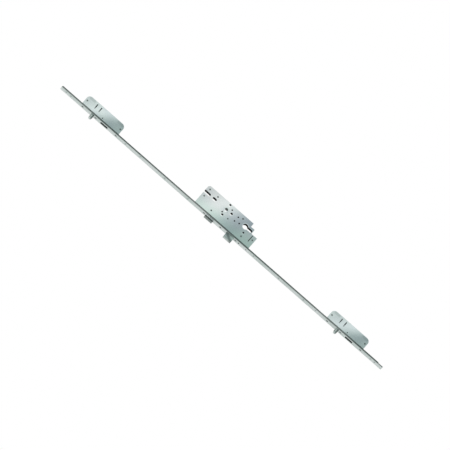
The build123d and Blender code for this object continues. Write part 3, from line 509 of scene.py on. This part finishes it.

# Turned steel pins, nickel plated. The lathe leaves fine rings round them. A painted highlight brightens their
# tips, and painted shade darkens their lower side, which is also duller.
TURNED_NICKEL_PIN = Finish(
    name="steel_pin_turned_nickel", light="#A8B0AD", dark="#959D9A", patch_mm=(8.0, 8.0, 8.0),
    roughness=(0.20, 0.30), grain_mm=(60.0, 0.5, 60.0), grain_depth_mm=0.006, grain_contrast=0.12,
    marks=(Band("#D4DCD9", 0.6, 0.0, BACKWARD, -60.0, -13.0, 3.0), Facing("#4A504E", 0.65, 0.10, DOWNWARD)))

# Bright turned steel across the case: pillars, pivots and pegs, with rings round the X axis.
TURNED_BRIGHT_STEEL = Finish(
    name="steel_turned_bright", light="#A2AAA8", dark="#8A9290", patch_mm=(6.0, 6.0, 6.0),
    roughness=(0.24, 0.36), grain_mm=(0.4, 30.0, 30.0), grain_depth_mm=0.004, grain_contrast=0.12)

# Rivet heads, formed cold by an orbiting punch: their plating is rubbed off, so they are darker than the
# sheet.
FORMED_RIVET = Finish(
    name="steel_rivet_head_formed", light="#8B9391", dark="#5F6765", patch_mm=(2.0, 2.0, 2.0),
    roughness=(0.34, 0.48), grain_mm=(0.5, 0.5, 0.5), grain_depth_mm=0.010, grain_contrast=0.18)

# Zinc alloy die castings, tumbled: matt, a little bluish, with a fine cast skin.
DIE_CAST_ZINC = Finish(
    name="zinc_alloy_die_cast", light="#9DA4A5", dark="#868D8F", patch_mm=(7.0, 7.0, 7.0),
    roughness=(0.42, 0.56), grain_mm=(0.6, 0.6, 0.6), grain_depth_mm=0.015, grain_contrast=0.12)

# The follower is cast in the same alloy, but its journals are faced after plating, so they shine like the
# sheet around them. A small painted highlight sits in front of the square hole, and painted shade darkens the
# hole.
FACED_ZINC_HUB = Finish(
    name="zinc_alloy_hub_faced", light="#BCC7C5", dark="#B2BCBE", patch_mm=(20.0, 20.0, 20.0),
    roughness=(0.28, 0.36), grain_mm=(1.5, 1.5, 1.5), grain_depth_mm=0.006, grain_contrast=0.06,
    marks=(Spots("#F4F8F7", 0.7, 0.0, 2.0, HUB_HIGHLIGHT), Spots("#363C3B", 0.9, 0.15, 0.8, SPINDLE_HOLE)))

# Cold-headed steel screws, zinc plated; the driver has dulled their slots.
HEADED_SCREW = Finish(
    name="steel_screw_cold_headed_zinc", light="#838B89", dark="#646C6A", patch_mm=(3.0, 3.0, 3.0),
    roughness=(0.30, 0.42), grain_mm=(0.6, 0.6, 0.6), grain_depth_mm=0.008, grain_contrast=0.15)

# Drawn spring wire, oil tempered: dark and glossy.
TEMPERED_WIRE = Finish(
    name="spring_wire_oil_tempered", light="#6B7070", dark="#505555", patch_mm=(5.0, 5.0, 5.0),
    roughness=(0.22, 0.32), grain_mm=(0.4, 0.4, 0.4), grain_depth_mm=0.003, grain_contrast=0.10)


@dataclass(frozen=True)
class Dress:
    """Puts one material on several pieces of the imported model.

    Attributes:
        finish: the surface.
        nodes: the pieces that have it.
    """

    finish: Finish
    nodes: tuple[str, ...]

    def apply(self) -> Material:
        """Make the material and put it on the pieces.

        Returns:
            The material.
        """
        material = self.finish.make()
        for name in self.nodes:
            put_on(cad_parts[name], material)
        LOG.info("%s on %s", self.finish.name, ", ".join(self.nodes))
        return material


def put_on(piece: Piece, material: Material) -> None:
    """Give all of a piece one material.

    Args:
        piece: the piece.
        material: its new material.
    """
    if not piece.material_slots:
        piece.data.materials.append(material)
    for slot in piece.material_slots:
        slot.material = material


def put_in(name: str, data: bpy.types.ID) -> Piece:
    """Put a new object into the scene.

    Args:
        name: its name.
        data: its mesh, lamp or camera.

    Returns:
        The object.
    """
    thing = bpy.data.objects.new(name, data)
    bpy.context.scene.collection.objects.link(thing)
    return thing


@dataclass(frozen=True)
class RivetHeads:
    """Formed heads on the ends of the pillars, on both sides of a case.

    Attributes:
        name: the new piece's name.
        places: each rivet's (y, z) in mm.
        section_mm: half of a head's section as (radius, height above the side), from its foot, sunk a little,
            over the crown to the middle of the hollow that the punch leaves.
        segments: how many straight pieces make a circle.
    """

    name: str
    places: tuple[tuple[float, float], ...]
    section_mm: tuple[tuple[float, float], ...] = (
        (2.75, -0.02), (2.69, 0.14), (2.40, 0.40), (1.95, 0.57), (1.40, 0.62), (1.15, 0.56), (0.70, 0.44),
        (0.0, 0.42))
    segments: int = 40

    def head(self, mesh: bmesh.types.BMesh, y: float, z: float, side: Side) -> None:
        """Add one head to the mesh.

        Args:
            mesh: the mesh being made.
            y: the rivet's depth in mm.
            z: the rivet's height in mm.
            side: the side of the case that it stands on.
        """
        def corner(radius: float, rise: float, turn: float = 0.0) -> Triple:
            """A point on the head, in metres."""
            x = side.value * (HALF_CASE_MM + rise)
            return x * MM, (y + radius * math.cos(turn)) * MM, (z + radius * math.sin(turn)) * MM

        *slope, hollow = self.section_mm
        turns = [2 * math.pi * i / self.segments for i in range(self.segments)]
        pairs = [(i, (i + 1) % self.segments) for i in range(self.segments)]
        rings = [[mesh.verts.new(corner(radius, rise, turn)) for turn in turns] for radius, rise in slope]
        for outer, inner in zip(rings, rings[1:]):
            for i, j in pairs:
                mesh.faces.new((outer[i], outer[j], inner[j], inner[i]))
        middle = mesh.verts.new(corner(*hollow))
        back = mesh.verts.new(corner(0.0, slope[0][1]))
        for i, j in pairs:
            mesh.faces.new((rings[-1][i], rings[-1][j], middle))
            mesh.faces.new((rings[0][j], rings[0][i], back))

    def build(self, body: str, material: Material) -> Piece:
        """Make the piece and let it ride.

        Args:
            body: the body that it rides on.
            material: its material.

        Returns:
            The new piece.
        """
        shape = bmesh.new()
        for y, z in self.places:
            for side in Side:
                self.head(shape, y, z, side)
        bmesh.ops.recalc_face_normals(shape, faces=shape.faces)
        mesh = bpy.data.meshes.new(self.name)
        shape.to_mesh(mesh)
        shape.free()
        for face in mesh.polygons:
            face.use_smooth = True
        piece = put_in(self.name, mesh)
        put_on(piece, material)
        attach(piece, body)
        LOG.info("%s: %d heads", self.name, 2 * len(self.places))
        return piece


@dataclass(frozen=True)
class LatchSpring:
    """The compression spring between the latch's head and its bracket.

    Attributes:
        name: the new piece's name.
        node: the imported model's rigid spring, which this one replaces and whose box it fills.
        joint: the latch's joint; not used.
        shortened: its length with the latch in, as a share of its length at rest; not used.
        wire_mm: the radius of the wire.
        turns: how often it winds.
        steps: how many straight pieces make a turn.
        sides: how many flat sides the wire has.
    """

    name: str = "latch_spring_wound"
    node: str = "latch_spring"
    joint: str = "latch_slide"
    shortened: float = 0.47
    wire_mm: float = 0.5
    turns: int = 8
    steps: int = 36
    sides: int = 12

    def ring(self, share: float, low: Vector, high: Vector) -> list[Vector]:
        """The corners of the wire's section.

        Args:
            share: how far along the wire, from 0 to 1.
            low: the lowest corner of the spring's box in metres.
            high: its highest corner.

        Returns:
            The section's corners in metres.
        """
        wire = self.wire_mm * MM
        radius = (high.z - low.z) / 2 - wire
        length = high.y - low.y - 2 * wire
        whole = 2 * math.pi * self.turns
        turn = whole * share
        outward = Vector((math.cos(turn), 0.0, math.sin(turn)))
        forward = Vector((-whole * radius * outward.z, length, whole * radius * outward.x)).normalized()
        aside = forward.cross(outward)
        middle = Vector((0.0, low.y + wire + length * share, (low.z + high.z) / 2)) + outward * radius
        angles = [2 * math.pi * i / self.sides for i in range(self.sides)]
        return [middle + (outward * math.cos(a) + aside * math.sin(a)) * wire for a in angles]

    def build(self, body: str, material: Material) -> Piece:
        """Wind the spring.

        Args:
            body: the body that it leans on.
            material: its material.

        Returns:
            The new piece.
        """
        low, high = [Vector(corner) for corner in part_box(self.node)]
        count = self.turns * self.steps
        corners = [corner for i in range(count + 1) for corner in self.ring(i / count, low, high)]
        pairs = [(j, (j + 1) % self.sides) for j in range(self.sides)]
        faces = [(start + j, start + k, start + self.sides + k, start + self.sides + j)
                 for start in range(0, count * self.sides, self.sides) for j, k in pairs]
        ends = [tuple(reversed(range(self.sides))), tuple(count * self.sides + j for j in range(self.sides))]
        mesh = bpy.data.meshes.new(self.name)
        mesh.from_pydata(corners, [], faces + ends)
        for face in mesh.polygons[:len(faces)]:
            face.use_smooth = True
        piece = put_in(self.name, mesh)
        put_on(piece, material)
        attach(piece, body)
        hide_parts(self.node)
        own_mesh(piece)
        LOG.info("%s: %d turns", self.name, self.turns)
        return piece


@dataclass(frozen=True)
class Faceplate:
    """The long strip with the heads of its studs behind it, and the drive rods that slide there.

    Attributes:
        strip: the strip.
        studs: the studs that hold the rods against it.
        rods: both rods.
        plates: what the rods carry.
    """

    strip: Dress = Dress(ROLLED_ZINC_STRIP, ("faceplate",))
    studs: Dress = Dress(TURNED_NICKEL_PIN, ("rod_guide_studs",))
    rods: Dress = Dress(DRAWN_STEEL_ROD, ("bolt_rod", "hook_rod"))
    plates: Dress = Dress(BLANKED_STEEL_PLATE, (
        "bolt_plate", "hook_key_plate", "upper_pin_plate", "lower_pin_plate", "upper_hook_plate",
        "lower_hook_plate"))

    def build(self) -> None:
        """Dress the strip and what slides behind it."""
        for dress in (self.strip, self.studs, self.rods, self.plates):
            dress.apply()


@dataclass(frozen=True)
class CentreCase:
    """The stepped case with its pillars, posts and screws, the latch, the follower and the deadbolt.

    Attributes:
        shell: tray and cover.
        rivets: the formed ends of its pillars.
        springs: the springs' wire.
        latch_spring: the latch's wound spring.
        dresses: what else the case holds, and what the boxes hold that has the same finish.
    """

    shell: tuple[Dress, ...] = (
        Dress(PRESSED_ZINC_SHEET, ("case_cover",)), Dress(SHADED_ZINC_TRAY, ("case_body",)))
    rivets: RivetHeads = RivetHeads("case_rivet_heads", (
        (63.8, 72.1), (37.6, 73.2), (62.9, 41.6), (62.9, -52.5), (31.9, -112.0), (18.4, -80.6)))
    springs: Dress = Dress(TEMPERED_WIRE, ("latch_spring", "follower_spring"))
    latch_spring: LatchSpring = LatchSpring()
    dresses: tuple[Dress, ...] = (
        Dress(GROUND_NICKEL_LATCH, ("latch_head",)),
        Dress(GROUND_NICKEL_BOLT, ("deadbolt_head",)),
        Dress(FACED_ZINC_HUB, ("follower",)),
        Dress(DIE_CAST_ZINC, ("case_posts", "upper_box_posts", "lower_box_posts",
                              "upper_pin_carriage", "lower_pin_carriage")),
        Dress(HEADED_SCREW, ("case_screws", "upper_box_screws", "lower_box_screws")),
        Dress(TURNED_BRIGHT_STEEL, (
            "case_pillars", "upper_box_pillars", "lower_box_pillars", "latch_pin", "latch_tail", "latch_stop",
            "deadbolt_tail", "deadbolt_pins", "deadbolt_peg", "upper_pin_pegs", "lower_pin_pegs",
            "upper_hook_peg", "lower_hook_peg")))

    def build(self, rivet_skin: Material) -> None:
        """Dress the case, and add the latch's wound spring and the rivet heads.

        Args:
            rivet_skin: the material of the rivet heads.
        """
        for dress in self.shell + self.dresses:
            dress.apply()
        self.latch_spring.build("lock_frame", self.springs.apply())
        self.rivets.build("lock_frame", rivet_skin)


@dataclass(frozen=True)
class BoltBoxes:
    """The two bolt boxes with their pins and hooks.

    Attributes:
        dresses: the shells, pins and hooks of both boxes.
        rivets_mm: each rivet's (y, height above the pin) in mm.
    """

    dresses: tuple[Dress, ...] = (
        Dress(PRESSED_ZINC_BOX, ("upper_box_body", "upper_box_cover", "upper_hook_pivot",
                                 "lower_box_body", "lower_box_cover", "lower_hook_pivot")),
        Dress(TURNED_NICKEL_PIN, ("upper_pin", "lower_pin")),
        Dress(TUMBLED_NICKEL_HOOK, ("upper_hook", "lower_hook")))
    rivets_mm: tuple[tuple[float, float], ...] = ((20.8, 37.6), (20.8, -86.0))

    def build(self, rivet_skin: Material) -> None:
        """Dress both boxes and add their rivet heads.

        Args:
            rivet_skin: the material of the rivet heads.
        """
        for dress in self.dresses:
            dress.apply()
        for place in Place:
            spots = tuple((y, place.value + rise) for y, rise in self.rivets_mm)
            RivetHeads(f"{place.word}_box_rivet_heads", spots).build("lock_frame", rivet_skin)


@dataclass(frozen=True)
class PhotoCamera:
    """The photograph's view: level, from the cover's side and the front, with the lock lying at a slant.

    Attributes:
        azimuth_deg: where the camera stands around the lock, counted from its front.
        slope_deg: how far the lock's foot points below the picture's right.
        mm_per_pixel: the picture's scale.
        spindle_px: where the origin is seen, counted from the picture's upper left.
        frame_px: the picture's width and height.
        distance_m: how far the camera stands off.
    """

    azimuth_deg: float = 66.6
    slope_deg: float = 41.247
    mm_per_pixel: float = 2.8235
    spindle_px: tuple[float, float] = (214.94, 222.72)
    frame_px: int = 450
    distance_m: float = 3.0

    @property
    def back(self) -> Vector:
        """The direction from the lock to the camera."""
        turn = math.radians(self.azimuth_deg)
        return Vector((math.sin(turn), -math.cos(turn), 0.0))

    def build(self) -> Piece:
        """Make the camera and let the scene use it.

        Returns:
            The camera.
        """
        back = self.back
        level = Vector((-back.y, back.x, 0.0))
        roll = math.radians(90.0 - self.slope_deg)
        up = Vector((0.0, 0.0, 1.0))
        right = level * math.cos(roll) - up * math.sin(roll)
        top = level * math.sin(roll) + up * math.cos(roll)
        across = (self.frame_px / 2 - self.spindle_px[0]) * self.mm_per_pixel * MM
        down = (self.frame_px / 2 - self.spindle_px[1]) * self.mm_per_pixel * MM
        turn = Matrix((right, top, back)).transposed().to_4x4()
        lens = bpy.data.cameras.new("photo_camera")
        lens.type = "ORTHO"
        lens.ortho_scale = self.frame_px * self.mm_per_pixel * MM
        camera = put_in("photo_camera", lens)
        camera.matrix_world = Matrix.Translation(back * self.distance_m + right * across - top * down) @ turn
        bpy.context.scene.camera = camera
        return camera


@dataclass(frozen=True)
class ToneStop:
    """One stop of the side panel's tone.

    Attributes:
        share: its place in a fall, counted from the darkest place (0) to the brightest (1).
        colour: the tone's tint, full scale being the panel's strength.
    """

    share: float
    colour: str


# How the tone runs upward beside the centre case, and beside the boxes, where it falls a little deeper
CASE_TONES = (
    ToneStop(-1.0, "#B6C1BE"), ToneStop(-0.25, "#B0BBBA"), ToneStop(0.0, "#A1A9AE"), ToneStop(0.3, "#B9C0C2"),
    ToneStop(0.6, "#E0E3E1"), ToneStop(1.0, "#FBF9F8"), ToneStop(1.5, "#E1E0DF"))
BOX_TONES = (
    ToneStop(-1.0, "#B0BBB8"), ToneStop(-0.25, "#AAB6B3"), ToneStop(0.0, "#969FA2"), ToneStop(0.3, "#A7B2B2"),
    ToneStop(0.6, "#DCE1DE"), ToneStop(1.0, "#FFFFFF"), ToneStop(1.5, "#DEE0DE"))


@dataclass(frozen=True)
class Fall:
    """Where the panel's tone falls from bright to grey beside one case.

    Attributes:
        dark_mm: the height of its darkest place, at the middle of the centre case's depth.
        length_mm: how far above that place it is brightest.
        tones: its stops.
    """

    dark_mm: float
    length_mm: float
    tones: tuple[ToneStop, ...]


@dataclass(frozen=True)
class Studio:
    """A plain pale floor, a white surround, a soft key lamp, and a toned panel beside the covers of the lock.

    The panel stands where the covers mirror it. Its tone falls from bright to grey beside the lower half of
    each case, so the covers show the fall that the photograph shows. The trays' flat sides mirror the plain
    surround.

    Attributes:
        floor_size_m: the floor's width.
        floor_colour: its colour.
        floor_roughness: its roughness.
        surround_level: how strongly the surround lights matt surfaces.
        key_power_w: the key lamp's power.
        key_size_m: its width.
        key_place_m: where it hangs.
        panel_gap_m: how far the panel's middle is from a cover's.
        panel_width_m: its width.
        panel_rise_m: how far it reaches above and below the spindle.
        panel_strength: how bright it is where its tone is white.
        slants: how fast the tone climbs with depth, beside the centre case and beside the boxes.
        slant_change_mm: how far from the spindle the first slant ends and the second starts.
        falls: where its tone falls, from the lowest case to the highest.
    """

    floor_size_m: float = 24.0
    floor_colour: str = "#EEF1F1"
    floor_roughness: float = 0.9
    surround_level: float = 0.75
    key_power_w: float = 22.0
    key_size_m: float = 2.0
    key_place_m: Triple = (1.6, -1.4, 2.0)
    panel_gap_m: float = 0.04
    panel_width_m: float = 0.36
    panel_rise_m: float = 0.8
    panel_strength: float = 1.52
    slants: tuple[float, float] = (0.74, 1.50)
    slant_change_mm: tuple[float, float] = (180.0, 260.0)
    falls: tuple[Fall, ...] = (
        Fall(-544.0, 58.0, BOX_TONES), Fall(-60.0, 92.0, CASE_TONES), Fall(375.0, 58.0, BOX_TONES))

    def world(self) -> None:
        """Make the surround: white where it is seen directly or mirrored, dimmer as light on matt surfaces."""
        world = bpy.data.worlds.new("white_surround")
        bpy.context.scene.world = world
        world.use_nodes = True
        wiring = Wiring(world.node_tree)
        path = wiring.add("ShaderNodeLightPath")
        seen = wiring.add("ShaderNodeMath", {
            0: path.outputs["Is Camera Ray"], 1: path.outputs["Is Glossy Ray"]}, operation="MAXIMUM")
        seen = wiring.add("ShaderNodeMath", {
            0: seen, 1: path.outputs["Is Transmission Ray"]}, operation="MAXIMUM")
        lit = wiring.add("ShaderNodeBackground", {"Color": linear(WHITE), "Strength": self.surround_level})
        white = wiring.add("ShaderNodeBackground", {"Color": linear(WHITE), "Strength": 1.0})
        either = wiring.add("ShaderNodeMixShader", {0: seen, 1: lit, 2: white})
        wiring.add("ShaderNodeOutputWorld", {"Surface": either})

    def sheet(self, name: str, middle: Vector, right: Vector, up: Vector) -> Piece:
        """A flat rectangle that belongs to the studio.

        Args:
            name: its name.
            middle: its middle in metres.
            right: from its middle to the middle of its right edge.
            up: from its middle to the middle of its top edge.

        Returns:
            The rectangle.
        """
        mesh = bpy.data.meshes.new(name)
        corners = [middle - right - up, middle + right - up, middle + right + up, middle - right + up]
        mesh.from_pydata([tuple(corner) for corner in corners], [], [(0, 1, 2, 3)])
        sheet = put_in(name, mesh)
        return sheet

    def floor(self) -> Piece:
        """Lay the floor that the lock stands on.

        Returns:
            The floor.
        """
        half = self.floor_size_m / 2
        middle = Vector((0.0, 0.0, CAD_BOX[0][2]))
        floor = self.sheet("studio_floor", middle, Vector((half, 0.0, 0.0)), Vector((0.0, half, 0.0)))
        skin = Skin("paper_floor_matt")
        shader = skin.add("ShaderNodeBsdfPrincipled", {
            "Base Color": linear(self.floor_colour), "Roughness": self.floor_roughness})
        skin.add("ShaderNodeOutputMaterial", {"Surface": shader})
        put_on(floor, skin.material)
        return floor

    def key(self) -> Piece:
        """Hang the key lamp, aimed at the spindle.

        Returns:
            The lamp.
        """
        light = bpy.data.lights.new("key_softbox", "AREA")
        light.size = self.key_size_m
        light.energy = self.key_power_w
        lamp = put_in("key_softbox", light)
        lamp.location = self.key_place_m
        lamp.rotation_euler = Vector(self.key_place_m).to_track_quat("Z", "Y").to_euler()
        lamp.visible_camera = False
        return lamp

    def tone(self, across: Vector, middle: Vector) -> Material:
        """The panel's material: a tone that changes along the lock, at a slant.

        Args:
            across: the panel's level direction, pointing to the back of the lock.
            middle: the panel's middle, which the middle of a case's depth mirrors.

        Returns:
            The material.
        """
        skin = Skin("toned_panel_lit")
        level = skin.add("ShaderNodeVectorMath", {0: skin.mm, 1: tuple(middle / MM)}, operation="SUBTRACT")
        reach = skin.add("ShaderNodeVectorMath", {0: level, 1: tuple(across)}, operation="DOT_PRODUCT")
        height = skin.parts[Along.HEIGHT]
        away = skin.add("ShaderNodeMath", {0: height}, operation="ABSOLUTE")
        near, far = self.slant_change_mm
        slant = skin.add("ShaderNodeMapRange", {
            "Value": away, "From Min": near, "From Max": far, "To Min": self.slants[0],
            "To Max": self.slants[1]}, **SMOOTH)
        climb = skin.add("ShaderNodeMath", {0: reach.outputs["Value"], 1: slant}, operation="MULTIPLY")
        height = skin.add("ShaderNodeMath", {0: height, 1: climb}, operation="ADD")
        stops = [(fall.dark_mm + tone.share * fall.length_mm, tone.colour)
                 for fall in self.falls for tone in fall.tones]
        low, high = stops[0][0], stops[-1][0]
        place = skin.add("ShaderNodeMapRange", {"Value": height, "From Min": low, "From Max": high})
        ramp = skin.add("ShaderNodeValToRGB", {0: place})
        elements = ramp.color_ramp.elements
        while len(elements) < len(stops):
            elements.new(1.0)
        for element, (stop, colour) in zip(elements, stops):
            element.position = (stop - low) / (high - low)
            element.color = linear(colour)
        glow = skin.add("ShaderNodeEmission", {"Color": ramp, "Strength": self.panel_strength})
        skin.add("ShaderNodeOutputMaterial", {"Surface": glow})
        return skin.material

    def panel(self, back: Vector) -> Piece:
        """Stand the toned panel where the covers mirror it.

        Args:
            back: the direction from the lock to the photograph's camera.

        Returns:
            The panel, which only mirrors see.
        """
        mirrored = Vector((back.x, -back.y, 0.0))
        across = Vector((-mirrored.y, mirrored.x, 0.0))
        middle = Vector((HALF_CASE_MM, CASE_MIDDLE_MM, 0.0)) * MM + mirrored * self.panel_gap_m
        panel = self.sheet("toned_panel_cover", middle, across * (self.panel_width_m / 2),
                           Vector((0.0, 0.0, self.panel_rise_m)))
        put_on(panel, self.tone(across, middle))
        panel.visible_camera = False
        panel.visible_diffuse = False
        panel.visible_transmission = False
        panel.visible_shadow = False
        return panel

    def build(self, back: Vector) -> None:
        """Set up the whole studio.

        Args:
            back: the direction from the lock to the photograph's camera.
        """
        self.world()
        self.floor()
        self.key()
        self.panel(back)
        bpy.context.scene.view_settings.view_transform = "Standard"


def main() -> None:
    """Set up the camera and the studio, then finish each part of the lock in order."""
    logging.basicConfig(level=logging.INFO, format="%(name)s: %(message)s")
    camera = PhotoCamera()
    camera.build()
    Studio().build(camera.back)
    rivet_skin = FORMED_RIVET.make()
    Faceplate().build()
    CentreCase().build(rivet_skin)
    BoltBoxes().build(rivet_skin)


if __name__ == "__main__":
    main()
